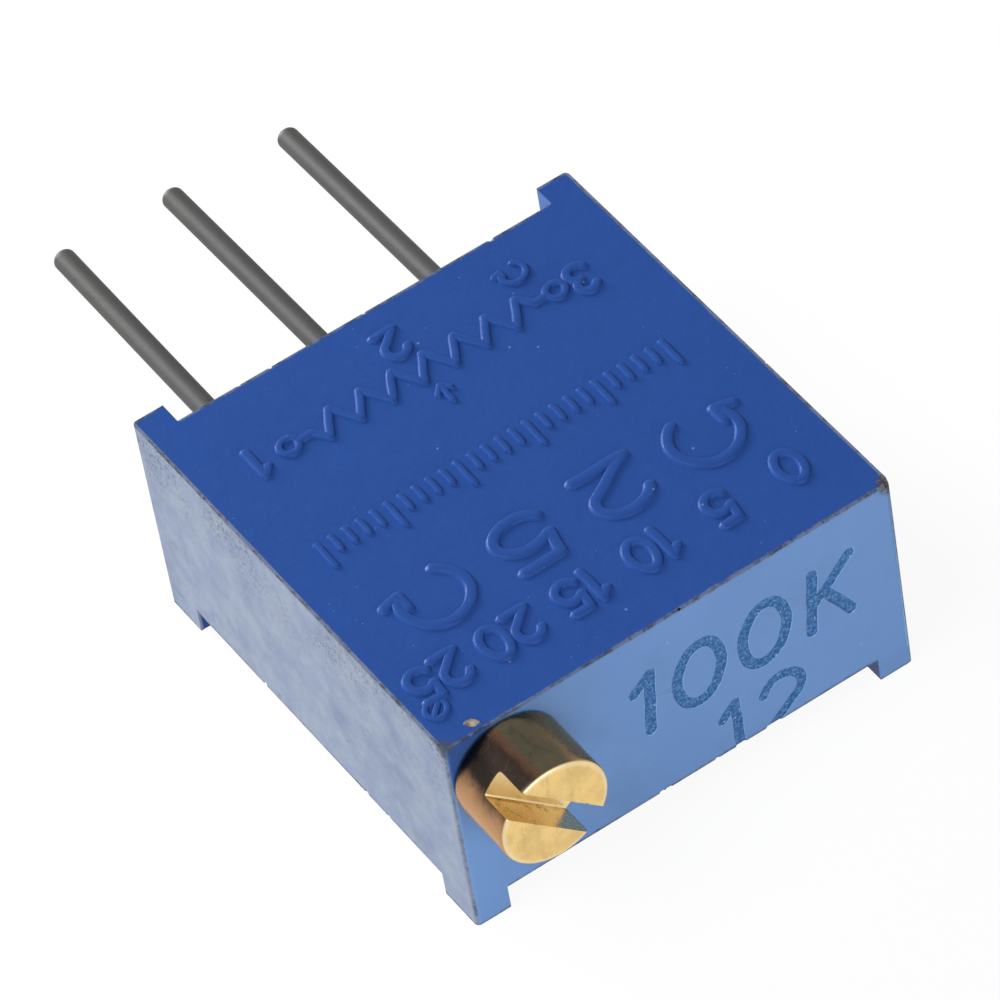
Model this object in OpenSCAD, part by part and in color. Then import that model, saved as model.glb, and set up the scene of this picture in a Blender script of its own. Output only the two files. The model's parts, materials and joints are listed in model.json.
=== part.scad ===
// Square multi-turn trimmer potentiometer with a side-mounted adjusting screw
// and three pins in line. A brass worm turns a toothed rotor, and the rotor
// carries a sprung wiper round a horseshoe of resistive film.
//
// The part lies on its back feet. +X runs from pin 1 to pin 3, +Y from the
// adjusting screw to the pins, and +Z from the potted back to the front wall.
// Every piece is drawn with the screw face at y = 0, and in_frame() then puts
// the middle of the whole part over the origin.

/* [Case] */
// Width of the case, across the row of pins
case_width = 9.53; // [9.2:0.01:10.2]
// Length of the case, from the screw face to the pin-side feet
case_length = 10.03; // [9.8:0.01:11]
// Depth of the case, from the back feet to the front wall
case_depth = 4.8; // [4.7:0.05:5.4]
// Thickness of the front wall, over the worm wheel
front_wall = 0.5; // [0.4:0.01:0.52]
// Thickness of the two side walls
side_wall = 0.45; // [0.42:0.01:0.46]
// Thickness of the end wall under the screw head
screw_wall = 0.6; // [0.5:0.01:0.8]
// Thickness of the end wall that the pins leave through
pin_wall = 0.58; // [0.5:0.01:0.7]
// Radius of the moulded edges that run from front to back
edge_radius = 0.1; // [0.05:0.01:0.2]

/* [Feet] */
// Height of the four feet on the back
back_foot_height = 0.55; // [0.3:0.05:0.6]
// Width of a back foot
back_foot_width = 0.72; // [0.5:0.01:1]
// Length of a back foot
back_foot_length = 1.0; // [0.7:0.01:1.5]
// Height of the two corner feet beside the pins
pin_foot_height = 0.5; // [0.3:0.05:0.6]
// Width of a pin-side foot
pin_foot_width = 0.67; // [0.5:0.01:1]

/* [Adjusting screw] */
// Distance of the screw axis from the side and from the front of the case
screw_inset = 1.15; // [1.14:0.01:1.2]
// Diameter of the screw head
head_diameter = 2.22; // [2.05:0.01:2.26]
// Height of the screw head above the end wall
head_height = 1.52; // [1:0.01:1.8]
// Width of the screwdriver slot
slot_width = 0.55; // [0.4:0.01:0.7]
// Depth of the screwdriver slot
slot_depth = 0.7; // [0.5:0.01:0.9]
// Direction of the screwdriver slot at mid-travel, in degrees about the screw
slot_angle = 45; // [0:1:180]
// Chamfer round the rim of the head
head_chamfer = 0.05; // [0.02:0.01:0.12]
// Gap between the head and the end wall
head_gap = 0.03; // [0.02:0.01:0.06]
// Diameter of the screw where it runs in the housing
land_diameter = 1.47; // [1.46:0.01:1.5]
// Gap all round the lands and the worm
land_clearance = 0.05; // [0.03:0.01:0.06]
// Length of the plain land between the seal and the clip
land_length = 0.62; // [0.5:0.01:0.8]
// Diameter of the journal at the inner end
journal_diameter = 0.8; // [0.6:0.01:0.9]
// Length of the journal
journal_length = 0.6; // [0.4:0.01:0.7]
// Gap all round the journal
journal_clearance = 0.04; // [0.02:0.01:0.06]
// Length of the collars at the two ends of the worm
collar_length = 0.3; // [0.25:0.01:0.4]

/* [Seal and clip] */
// Diameter of the counterbore that holds the seal
gland_diameter = 2.0; // [1.9:0.01:2.05]
// Depth of the counterbore that holds the seal
gland_depth = 0.52; // [0.48:0.01:0.6]
// Diameter of the screw inside the seal
neck_diameter = 1.06; // [0.95:0.01:1.08]
// Gap between the seal and what it seals
seal_clearance = 0.015; // [0.01:0.005:0.03]
// Thickness of the spring clip
clip_thickness = 0.25; // [0.2:0.01:0.3]
// Diameter of the screw in the clip groove
groove_diameter = 0.9; // [0.8:0.01:1]
// Gap between the clip and the screw
clip_clearance = 0.025; // [0.02:0.005:0.04]
// Width of the spring clip
clip_width = 1.38; // [1.3:0.01:1.39]
// Reach of the clip's legs past the screw axis
clip_reach = 0.5; // [0.4:0.01:0.6]

/* [Worm drive] */
// Number of teeth on the worm wheel
wheel_teeth = 30; // [26:1:34]
// Distance of the wheel's centre from the middle of the case
wheel_offset = 0.4; // [0.3:0.01:0.45]
// Thickness of the worm wheel
wheel_thickness = 1.1; // [1:0.01:1.14]
// Pitch diameter of the worm
worm_pitch_diameter = 1.1; // [1.06:0.01:1.12]
// Height of the worm thread and of the wheel teeth above their pitch lines
tooth_addendum = 0.18; // [0.15:0.01:0.18]
// Depth of the worm thread and of the wheel teeth below their pitch lines
tooth_dedendum = 0.22; // [0.21:0.01:0.24]
// Flank angle of the teeth
pressure_angle = 20; // [16:1:24]
// Narrowing of each tooth and of the thread, for running clearance
tooth_backlash = 0.035; // [0.02:0.005:0.05]
// Gap between the wheel teeth and the housing
pocket_clearance = 0.14; // [0.1:0.01:0.15]
// Diameter of the post that the wheel turns on
post_diameter = 1.5; // [1.2:0.01:1.6]
// Gap all round the post
post_clearance = 0.04; // [0.02:0.01:0.06]
// Gap between the wheel and the thrust ring above it
thrust_clearance = 0.05; // [0.03:0.01:0.07]

/* [Resistive element] */
// Thickness of the ceramic substrate
substrate_thickness = 0.64; // [0.5:0.01:0.7]
// Gap round the edge of the substrate
substrate_clearance = 0.08; // [0.04:0.01:0.12]
// Thickness of the printed films
film = 0.03; // [0.02:0.005:0.04]
// Radius of the middle of the resistive track
track_radius = 2.6; // [2.5:0.01:2.7]
// Width of the resistive track
track_width = 0.8; // [0.6:0.01:0.9]
// Angle from mid-travel to each end of the resistive track
track_angle = 146; // [140:1:148]
// Angle of the conductor beyond each end of the track
track_end_angle = 16; // [12:1:18]
// Radius of the middle of the collector ring
ring_radius = 1.2; // [1.15:0.01:1.3]
// Width of the collector ring and of its strip
ring_width = 0.45; // [0.4:0.01:0.5]
// Width of a pad under a pin
pad_width = 1.1; // [1.08:0.01:1.2]
// Width of the link from an end of the track to its pad
link_width = 0.35; // [0.2:0.01:0.4]
// Clearance of the housing round the pads and links
film_clearance = 0.1; // [0.05:0.01:0.15]

/* [Wiper] */
// Thickness of the wiper's sheet metal
wiper_sheet = 0.07; // [0.05:0.01:0.08]
// Width of one wiper finger
finger_width = 0.14; // [0.1:0.01:0.16]
// Gap between one finger and the next
finger_gap = 0.08; // [0.06:0.01:0.1]
// Radius of the rounded contact on a finger
contact_radius = 0.1; // [0.08:0.01:0.12]
// Gap between a contact and the film under it
contact_clearance = 0.03; // [0.02:0.005:0.05]
// Sideways reach of the fingers from the wiper's plate
finger_reach = 1.1; // [0.9:0.01:1.2]
// Width of the wiper's plate
wiper_plate = 0.8; // [0.7:0.01:0.9]
// Diameter of the two moulded stakes that hold the wiper
stake_diameter = 0.3; // [0.25:0.01:0.35]

/* [Pins] */
// Distance between neighbouring pins
pin_pitch = 2.54; // [2.5:0.01:2.54]
// Diameter of a pin
pin_diameter = 0.45; // [0.4:0.01:0.52]
// Length of a pin beyond the pin-side feet
pin_reach = 6.6; // [3:0.1:13]
// Height of the pins above the plane of the back feet
pin_height = 2.2; // [2.1:0.01:2.4]
// Width of the squared length of a pin inside the end wall
square_width = 0.36; // [0.3:0.01:0.36]
// Gap between a pin and its slot in the end wall
pin_clearance = 0.04; // [0.02:0.01:0.06]
// Height of the dome on a pin's tip
pin_dome = 0.12; // [0.08:0.01:0.16]
// Length of a pin's flattened inner end
paddle_length = 0.55; // [0.4:0.01:0.65]
// Width of a pin's flattened inner end
paddle_width = 0.52; // [0.4:0.01:0.54]
// Thickness of a pin's flattened inner end
paddle_thickness = 0.3; // [0.25:0.01:0.34]
// Radius of a solder joint where it meets its pad
solder_radius = 0.53; // [0.48:0.01:0.54]
// Radius of a solder joint at its top
solder_top_radius = 0.36; // [0.32:0.01:0.4]
// Height of a solder joint
solder_height = 0.4; // [0.36:0.01:0.44]

/* [Potting] */
// Depth of the potting below the rim of the back
potting_recess = 0.06; // [0.02:0.01:0.15]

/* [Hidden] */
// Smoothness of round surfaces
$fn = 64;
// Overlap of a cutting tool beyond the surface that it cuts
slack = 0.1;

// Planes along y
case_end = case_length - pin_foot_height;
cavity_start = screw_wall;
cavity_end = case_end - pin_wall;
wheel_y = (cavity_start + cavity_end) / 2;
pin_tip = case_length + pin_reach;
mid_y = (pin_tip - head_height) / 2;

// Planes along z, from the back to the front
rim_z = back_foot_height;
pad_top = pin_height - pin_diameter / 2;
element_z = pad_top - film;
ceiling_z = case_depth - front_wall;

// Screw, along its axis
screw_x = screw_inset - case_width / 2;
screw_z = case_depth - screw_inset;
land_radius = land_diameter / 2;
bore_radius = land_radius + land_clearance;
neck_end = gland_depth;
land_end = neck_end + land_length;
groove_length = clip_thickness + 2 * clip_clearance;
groove_end = land_end + groove_length;
worm_start = groove_end + collar_length;
worm_end = cavity_end - journal_length - collar_length;
shoulder_y = worm_end + collar_length;
// The journal stops this far short of the end of its pocket
journal_gap = 0.06;
journal_end = shoulder_y + journal_length - journal_gap;

// Worm and wheel
wheel_x = wheel_offset;
centre_distance = wheel_x - screw_x;
worm_pitch_radius = worm_pitch_diameter / 2;
wheel_pitch_radius = centre_distance - worm_pitch_radius;
wheel_tip_radius = wheel_pitch_radius + tooth_addendum;
wheel_root_radius = wheel_pitch_radius - tooth_dedendum;
worm_lead = 2 * PI * wheel_pitch_radius / wheel_teeth;
worm_tip_radius = worm_pitch_radius + tooth_addendum - 0.01;
worm_root_radius = worm_pitch_radius - tooth_dedendum;
wheel_bottom = screw_z - wheel_thickness / 2;
wheel_top = screw_z + wheel_thickness / 2;
thrust_z = wheel_top + thrust_clearance;
post_radius = post_diameter / 2;
post_bottom = wheel_bottom - 2 * wiper_sheet;
pocket_radius = wheel_tip_radius + pocket_clearance;

// Pins, pads and the bay that keeps the housing clear of the solder
pin_xs = [-pin_pitch, 0, pin_pitch];
paddle_end = cavity_end - 0.45;
paddle_start = paddle_end - paddle_length;
// A pin is round from the face of the resin outwards
round_start = case_end - potting_recess;
pad_start = paddle_start - 0.15;
pad_end = cavity_end - 0.15;
// Where the links leave the ends of the track for the outer pads
link_y = wheel_y - (track_radius + track_width / 2) * cos(track_angle);
bay_start = link_y - film_clearance;
bay_half_width = pin_pitch + pad_width / 2 + film_clearance;
bay_top = pad_top + solder_height + 0.12;

// ---------- helpers ----------

// Moves a piece from the screw face to the frame of the whole part
module in_frame() {
    translate([0, -mid_y, 0]) children();
}

// A round bar along y
module rod(x, z, y0, y1, r) {
    translate([x, y1, z]) rotate([90, 0, 0]) cylinder(h = y1 - y0, r = r);
}

// A flat shape in x and z, thickened along y
module slab_y(y0, y1) {
    translate([0, y1, 0]) rotate([90, 0, 0]) linear_extrude(y1 - y0) children();
}

// A box from its two opposite corners
module box(low, high) {
    translate(low) cube(high - low);
}

// A rectangle from its two opposite corners
module rectangle(low, high) {
    translate(low) square(high - low);
}

// A rectangle with round corners, made of straight sides and true arcs
module rounded_rectangle(low, high, r) {
    rectangle(low + [r, 0], high - [r, 0]);
    rectangle(low + [0, r], high - [0, r]);
    for (x = [low.x + r, high.x - r], y = [low.y + r, high.y - r])
        translate([x, y]) circle(r);
}

// Part of a flat ring round the wheel's centre. Angles count from the
// direction of the screw face, which is where the wiper rests.
module ring_sector(radius, width, from, to) {
    far = 2 * (radius + width);
    steps = ceil((to - from) / 30);
    fan = [for (i = [0:steps]) let (a = from + (to - from) * i / steps - 90)
        far * [cos(a), sin(a)]];
    translate([wheel_x, wheel_y]) intersection() {
        difference() {
            circle(radius + width / 2);
            circle(radius - width / 2);
        }
        polygon(concat([[0, 0]], fan));
    }
}

// A film printed on the substrate
module printed() {
    translate([0, 0, element_z]) linear_extrude(film) children();
}

// ---------- housing ----------

// The plan of the case, less the inset of its ends
module case_plan(y0, y1) {
    rounded_rectangle([-case_width / 2, y0], [case_width / 2, y1], edge_radius);
}

module case_block() {
    translate([0, 0, rim_z]) linear_extrude(case_depth - rim_z) case_plan(0, case_end);
    case_feet();
}

// Four feet on the back, and two full-depth feet beside the pins
module case_feet() {
    intersection() {
        linear_extrude(case_depth) case_plan(0, case_length);
        union() {
            for (side = [-1, 1]) {
                for (y = [0, case_length - back_foot_length])
                    foot(side, back_foot_width, y, y + back_foot_length, rim_z + slack);
                foot(side, pin_foot_width, case_end - slack, case_length, case_depth);
            }
        }
    }
}

// A block that fills one side edge of the case, from the back up to a height
module foot(side, width, y0, y1, top) {
    x0 = side * case_width / 2;
    x1 = side * (case_width / 2 - width);
    box([min(x0, x1), y0, 0], [max(x0, x1), y1, top]);
}

// The back opening, down to the ledge that the substrate lies on
module back_cavity(z0, z1) {
    half = case_width / 2 - side_wall;
    box([-half, cavity_start, z0], [half, cavity_end, z1]);
}

// The chamber round the worm wheel, with the post and thrust ring left standing
module wheel_chamber() {
    translate([wheel_x, wheel_y, 0]) difference() {
        translate([0, 0, element_z - slack])
            cylinder(h = ceiling_z - element_z + slack, r = pocket_radius);
        translate([0, 0, post_bottom]) cylinder(h = case_depth, r = post_radius);
        translate([0, 0, thrust_z]) cylinder(h = case_depth, r = post_radius + 0.5);
    }
}

// Everything that is bored along the screw's axis
module screw_bores() {
    rod(screw_x, screw_z, -slack, neck_end, gland_diameter / 2);
    rod(screw_x, screw_z, 0, shoulder_y + head_gap, bore_radius);
    rod(screw_x, screw_z, 0, cavity_end, journal_diameter / 2 + journal_clearance);
}

// The slot that the clip is pushed into from the back
module clip_slot() {
    clip_place = land_end + clip_clearance;
    box([screw_x - clip_width / 2, clip_place, element_z - slack],
        [screw_x + clip_width / 2, clip_place + clip_thickness, screw_z + clip_reach]);
}

// The slot in the end wall that a pin drops into from the back
module pin_slot(x) {
    r = pin_diameter / 2 + pin_clearance;
    slab_y(cavity_end - slack, case_end + slack) {
        translate([x, pin_height]) circle(r);
        rectangle([x - r, rim_z - slack], [x + r, pin_height]);
    }
}

module housing() {
    color([0.08, 0.25, 0.62]) in_frame() difference() {
        case_block();
        back_cavity(rim_z - slack, element_z);
        wheel_chamber();
        box([-bay_half_width, bay_start, element_z - slack],
            [bay_half_width, cavity_end, bay_top]);
        screw_bores();
        clip_slot();
        for (x = pin_xs) pin_slot(x);
    }
}

// ---------- adjusting screw and what seals and holds it ----------

// The turned outline, as radius and distance along the screw
function screw_outline() = [
    [0, -head_height],
    [head_diameter / 2 - head_chamfer, -head_height],
    [head_diameter / 2, head_chamfer - head_height],
    [head_diameter / 2, -head_gap],
    [neck_diameter / 2, -head_gap],
    [neck_diameter / 2, neck_end + head_gap],
    [land_radius, neck_end + head_gap],
    [land_radius, land_end],
    [groove_diameter / 2, land_end],
    [groove_diameter / 2, groove_end],
    [land_radius, groove_end],
    [land_radius, worm_start],
    [worm_root_radius / 2, worm_start],
    [worm_root_radius / 2, worm_end],
    [land_radius, worm_end],
    [land_radius, shoulder_y],
    [journal_diameter / 2, shoulder_y],
    [journal_diameter / 2, journal_end],
    [0, journal_end],
];

// The worm is one ribbon that follows the helix: for each step round the
// axis it holds the two feet of the thread and the two edges of its crest.
// A foot meets the foot of the next turn, so the ribbon also makes the root.
worm_steps = 24;
thread_half = (worm_lead / 2 - tooth_backlash) / 2;
crest_half = thread_half - (worm_tip_radius - worm_pitch_radius) * tan(pressure_angle);
foot_half = thread_half + tooth_dedendum * tan(pressure_angle);
worm_section = [
    [-foot_half, worm_root_radius],
    [-crest_half, worm_tip_radius],
    [crest_half, worm_tip_radius],
    [foot_half, worm_root_radius],
];
// Turns before and after the one that meets the wheel on its centre line
turns_before = ceil((wheel_y - worm_start) / worm_lead) + 2;
turns_after = ceil((worm_end - wheel_y) / worm_lead) + 2;

function worm_point(i, k) =
    let (a = 360 * i / worm_steps, r = worm_section[k][1])
    [r * cos(a), r * sin(a), wheel_y + worm_lead * i / worm_steps + worm_section[k][0]];

module worm_ribbon() {
    first = -turns_before * worm_steps;
    last = turns_after * worm_steps;
    count = last - first;
    points = concat(
        [for (i = [first:last], k = [0:3]) worm_point(i, k)],
        [[0, 0, worm_point(first, 0).z], [0, 0, worm_point(last, 3).z]]
    );
    start = 4 * (count + 1);
    end = start + 1;
    thread = [for (i = [0:count - 1], k = [0:2])
        let (a = 4 * i + k, b = a + 4) each [[a, a + 1, b + 1], [a, b + 1, b]]];
    root = [for (i = [0:count - worm_steps - 1])
        let (a = 4 * i + 3, b = a + 4, c = 4 * (i + worm_steps), d = c + 4)
        each [[a, c, d], [a, d, b]]];
    start_edge = concat([for (i = [0:worm_steps]) 4 * i], [3, 2, 1, 0]);
    end_edge = concat([for (i = [count - worm_steps:count]) 4 * i + 3],
        [for (k = [2:-1:0]) 4 * count + k], [4 * (count - worm_steps) + 3]);
    start_cap = [for (i = [0:len(start_edge) - 2]) [start, start_edge[i], start_edge[i + 1]]];
    end_cap = [for (i = [0:len(end_edge) - 2]) [end, end_edge[i + 1], end_edge[i]]];
    polyhedron(points, concat(thread, root, start_cap, end_cap));
}

// The worm between its two collars, running a little way into each
module worm() {
    intersection() {
        worm_ribbon();
        translate([0, 0, worm_start - collar_length / 2])
            cylinder(h = worm_end - worm_start + collar_length, r = 2 * land_radius);
    }
}

module adjusting_screw() {
    color([0.78, 0.62, 0.3]) in_frame()
        translate([screw_x, 0, screw_z]) rotate([-90, 0, 0]) difference() {
            union() {
                rotate_extrude() polygon(screw_outline());
                worm();
            }
            rotate([0, 0, slot_angle])
                box([-head_diameter, -slot_width / 2, -head_height - slack],
                    [head_diameter, slot_width / 2, slot_depth - head_height]);
        }
}

module o_ring() {
    inner = neck_diameter / 2 + seal_clearance;
    section = (gland_diameter / 2 - seal_clearance - inner) / 2;
    color([0.12, 0.12, 0.12]) in_frame()
        translate([screw_x, neck_end - section, screw_z]) rotate([-90, 0, 0])
            rotate_extrude() translate([inner + section, 0]) circle(section);
}

module retaining_clip() {
    gap = groove_diameter / 2 + clip_clearance;
    start = land_end + clip_clearance;
    color([0.72, 0.72, 0.74]) in_frame() slab_y(start, start + clip_thickness) difference() {
        rectangle([screw_x - clip_width / 2, element_z],
            [screw_x + clip_width / 2, screw_z + clip_reach]);
        translate([screw_x, screw_z]) circle(gap);
        rectangle([screw_x - gap, screw_z], [screw_x + gap, case_depth]);
    }
}

// ---------- rotor ----------

function involute(a) = tan(a) * 180 / PI - a;

// Half the angle that a wheel tooth takes up at a radius
function tooth_half_angle(r) =
    let (base = wheel_pitch_radius * cos(pressure_angle),
        width = worm_lead / 2 - tooth_backlash,
        flank = r > base ? acos(base / r) : 0)
    width / 2 / wheel_pitch_radius * 180 / PI + involute(pressure_angle) - involute(flank);

// One tooth's outline: up one flank, across the tip and down the other
function tooth_outline(middle) =
    let (radii = [wheel_root_radius, wheel_pitch_radius, wheel_tip_radius],
        halves = [for (r = radii) tooth_half_angle(r)])
    concat(
        [for (i = [0:2]) radii[i] * [cos(middle - halves[i]), sin(middle - halves[i])]],
        [for (i = [2:-1:0]) radii[i] * [cos(middle + halves[i]), sin(middle + halves[i])]]
    );

// The teeth lean with the worm thread where the two meet
module wheel_teeth_rim() {
    step = 360 / wheel_teeth;
    lean = worm_lead / (2 * PI * worm_pitch_radius) / wheel_pitch_radius * 180 / PI;
    // A gap between two teeth faces the worm
    first = 180 + step / 2 - lean * wheel_thickness / 2;
    linear_extrude(wheel_thickness, twist = -lean * wheel_thickness, slices = 2)
        polygon([for (i = [0:wheel_teeth - 1]) each tooth_outline(first + step * i)]);
}

// The middle of the wiper's plate, and the two places where it is staked
plate_x = finger_reach + wiper_plate / 2;
stake_ys = [-track_radius, -ring_radius - 0.2];

module worm_wheel() {
    color([0.93, 0.92, 0.88]) in_frame() translate([wheel_x, wheel_y, wheel_bottom]) {
        difference() {
            wheel_teeth_rim();
            translate([0, 0, -slack])
                cylinder(h = wheel_thickness + 2 * slack, r = post_radius + post_clearance);
        }
        for (y = stake_ys)
            translate([plate_x, y, -2 * wiper_sheet])
                cylinder(h = 3 * wiper_sheet, r = stake_diameter / 2);
    }
}

// How far below the wheel a contact's centre lies
contact_drop = wheel_bottom - pad_top - contact_clearance - contact_radius;
// The fingers leave the plate at its mid-thickness
arm_rise = contact_drop - wiper_sheet / 2;

// A comb of fingers side by side, centred on a radius
module fingers(radius, count) {
    pitch = finger_width + finger_gap;
    arm = norm([finger_reach, arm_rise]);
    for (i = [0:count - 1]) {
        y = -radius + pitch * (i - (count - 1) / 2) - finger_width / 2;
        translate([0, y, -contact_drop]) rotate([-90, 0, 0])
            cylinder(h = finger_width, r = contact_radius);
        translate([0, y, -contact_drop]) rotate([0, -atan2(arm_rise, finger_reach), 0])
            translate([0, 0, -wiper_sheet / 2]) cube([arm, finger_width, wiper_sheet]);
    }
}

module wiper() {
    span = 3 * finger_width + 2 * finger_gap;
    color([0.86, 0.8, 0.62]) in_frame() translate([wheel_x, wheel_y, wheel_bottom]) {
        difference() {
            box([finger_reach - wiper_sheet, -track_radius - span / 2 - 0.05, -wiper_sheet],
                [finger_reach + wiper_plate, -ring_radius + span / 2, 0]);
            for (y = stake_ys)
                translate([plate_x, y, -wiper_sheet - slack])
                    cylinder(h = wiper_sheet + 2 * slack, r = stake_diameter / 2);
        }
        fingers(track_radius, 3);
        fingers(ring_radius, 2);
    }
}

// ---------- resistive element ----------

module substrate() {
    half = case_width / 2 - side_wall - substrate_clearance;
    color([0.95, 0.95, 0.93]) in_frame()
        box([-half, cavity_start + substrate_clearance, element_z - substrate_thickness],
            [half, cavity_end - substrate_clearance, element_z]);
}

module resistive_track() {
    color([0.18, 0.16, 0.15]) in_frame()
        printed() ring_sector(track_radius, track_width, -track_angle, track_angle);
}

// The pad under a pin
module landing(x) {
    rectangle([x - pad_width / 2, pad_start], [x + pad_width / 2, pad_end]);
}

module collector_ring() {
    color([0.75, 0.74, 0.7]) in_frame() printed() {
        translate([wheel_x, wheel_y]) difference() {
            circle(ring_radius + ring_width / 2);
            circle(ring_radius - ring_width / 2);
        }
        rectangle([wheel_x - ring_width / 2, wheel_y + ring_radius],
            [wheel_x + ring_width / 2, pad_start + ring_width]);
        rectangle([-ring_width / 2, pad_start],
            [wheel_x + ring_width / 2, pad_start + ring_width]);
        landing(0);
    }
}

// The conductor at one end of the track, and its link to the pin's pad
module track_pad(x) {
    side = sign(x);
    middle = track_angle + track_end_angle / 2;
    outer = track_radius + track_width / 2;
    link_x = wheel_x + side * outer * sin(middle);
    edge_x = x + side * pad_width / 2;
    from = side > 0 ? track_angle : -track_angle - track_end_angle;
    color([0.75, 0.74, 0.7]) in_frame() printed() {
        ring_sector(track_radius, track_width, from, from + track_end_angle);
        rectangle([min(link_x, edge_x), link_y], [max(link_x, edge_x), link_y + link_width]);
        rectangle([x - pad_width / 2, link_y], [x + pad_width / 2, pad_end]);
    }
}

// ---------- pins, solder and potting ----------

module pin_shape(x) {
    dome_radius = (pow(pin_diameter / 2, 2) + pow(pin_dome, 2)) / (2 * pin_dome);
    half = square_width / 2;
    rod(x, pin_height, round_start, pin_tip - pin_dome, pin_diameter / 2);
    intersection() {
        translate([x, pin_tip - dome_radius, pin_height]) sphere(dome_radius);
        rod(x, pin_height, pin_tip - 2 * pin_dome, pin_tip + slack, pin_diameter / 2);
    }
    box([x - half, paddle_end, pin_height - half],
        [x + half, round_start + slack, pin_height + half]);
    paddle(x);
}

// The flattened inner end of a pin, running a little way into the squared part
module paddle(x) {
    box([x - paddle_width / 2, paddle_start, pad_top],
        [x + paddle_width / 2, paddle_end + slack, pad_top + paddle_thickness]);
}

module terminal_pin(x) {
    color([0.55, 0.54, 0.53]) in_frame() pin_shape(x);
}

// A cone of solder that stands on the pad round a paddle, and stops where the
// paddle ends
module solder_joint(x) {
    color([0.78, 0.78, 0.8]) in_frame() difference() {
        translate([x, (paddle_start + paddle_end) / 2, pad_top])
            cylinder(h = solder_height, r1 = solder_radius, r2 = solder_top_radius);
        box([x - pad_width, paddle_end, element_z], [x + pad_width, cavity_end, case_depth]);
        paddle(x);
    }
}

// The resin fills the back up to the substrate, and the slots up to the pins
module potting() {
    top = element_z - substrate_thickness;
    bottom = rim_z + potting_recess;
    r = pin_diameter / 2 + pin_clearance;
    color([0.8, 0.8, 0.76]) in_frame() difference() {
        union() {
            back_cavity(bottom, top);
            for (x = pin_xs)
                box([x - r, cavity_end - substrate_clearance, bottom],
                    [x + r, case_end - potting_recess, pin_height]);
        }
        for (x = pin_xs) pin_shape(x);
    }
}

housing();
adjusting_screw();
o_ring();
retaining_clip();
worm_wheel();
wiper();
substrate();
resistive_track();
collector_ring();
track_pad(pin_xs[0]);  // pad_1
track_pad(pin_xs[2]);  // pad_3
terminal_pin(pin_xs[0]);  // terminal_pin_1
terminal_pin(pin_xs[1]);  // terminal_pin_2
terminal_pin(pin_xs[2]);  // terminal_pin_3
solder_joint(pin_xs[0]);  // solder_joint_1
solder_joint(pin_xs[1]);  // solder_joint_2
solder_joint(pin_xs[2]);  // solder_joint_3
potting();
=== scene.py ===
import json
import math

import bmesh
import bpy
import numpy as np
from bpy.props import FloatProperty, FloatVectorProperty, PointerProperty
from mathutils import Matrix, Vector


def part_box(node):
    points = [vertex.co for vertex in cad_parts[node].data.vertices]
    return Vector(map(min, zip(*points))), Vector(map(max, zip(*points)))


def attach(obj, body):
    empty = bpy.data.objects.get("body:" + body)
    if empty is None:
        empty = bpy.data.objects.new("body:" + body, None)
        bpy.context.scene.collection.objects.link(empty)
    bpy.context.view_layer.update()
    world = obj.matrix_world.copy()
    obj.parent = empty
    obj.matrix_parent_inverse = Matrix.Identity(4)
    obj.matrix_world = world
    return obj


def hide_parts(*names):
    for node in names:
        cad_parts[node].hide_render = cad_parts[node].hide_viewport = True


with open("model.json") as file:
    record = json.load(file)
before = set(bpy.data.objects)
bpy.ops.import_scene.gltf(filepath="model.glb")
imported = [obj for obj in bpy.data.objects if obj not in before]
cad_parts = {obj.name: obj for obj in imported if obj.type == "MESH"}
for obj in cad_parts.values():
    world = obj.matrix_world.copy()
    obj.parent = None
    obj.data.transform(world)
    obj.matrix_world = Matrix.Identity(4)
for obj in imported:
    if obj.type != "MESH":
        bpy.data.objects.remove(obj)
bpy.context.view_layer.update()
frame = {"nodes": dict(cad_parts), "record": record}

bl_info = {
    "name": "Trimmer Potentiometer",
    "version": (1, 0, 0),
    "blender": (4, 5, 0),
    "location": "3D View > Sidebar > Trimmer",
    "description": "Dresses a square multi-turn trimmer: moulded case, brass screw, pins and resin",
    "category": "Object",
}

MM = 0.001
DOUBLES = 1e-8           # points nearer than this, in metres, are one


def in_mm(node):
    """The two corners of a CAD node's box, in millimetres."""
    return [np.array(corner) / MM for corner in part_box(node)]


CASE_LOW, CASE_HIGH = in_mm("housing")
SCREW_LOW, SCREW_HIGH = in_mm("adjusting_screw")
POTTING_LOW, POTTING_HIGH = in_mm("potting")
HALF_WIDTH = CASE_HIGH[0]
FOOT_HEIGHT = 0.5        # of the two feet on the pin side
FRONT_Z = CASE_HIGH[2]
END_Y = CASE_LOW[1]
PIN_FACE_Y = CASE_HIGH[1] - FOOT_HEIGHT
RIM_Z = 0.55             # how far the walls stand above the back feet
SCREW_X = (SCREW_LOW[0] + SCREW_HIGH[0]) / 2
SCREW_Z = (SCREW_LOW[2] + SCREW_HIGH[2]) / 2
HEAD_RADIUS = (SCREW_HIGH[0] - SCREW_LOW[0]) / 2
WORM_MIDDLE = END_Y + 4.775
WORM_LEAD = 0.7257
WORM_ROOT = 0.33
WORM_CREST = 0.72


# ---------- settings ----------

def colour_setting(name, description, default):
    """A colour that the panel shows."""
    return FloatVectorProperty(name=name, description=description, subtype="COLOR", default=default,
                               min=0, max=1)


def length_setting(name, description, default, low, high):
    """A length that the panel shows, given in millimetres."""
    return FloatProperty(name=name, description=description, subtype="DISTANCE", unit="LENGTH",
                         default=default * MM, min=low * MM, max=high * MM, precision=6)


def power_setting(name, description, default):
    """The power of a lamp, in watts."""
    return FloatProperty(name=name, description=description, unit="POWER", default=default, min=0)


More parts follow.
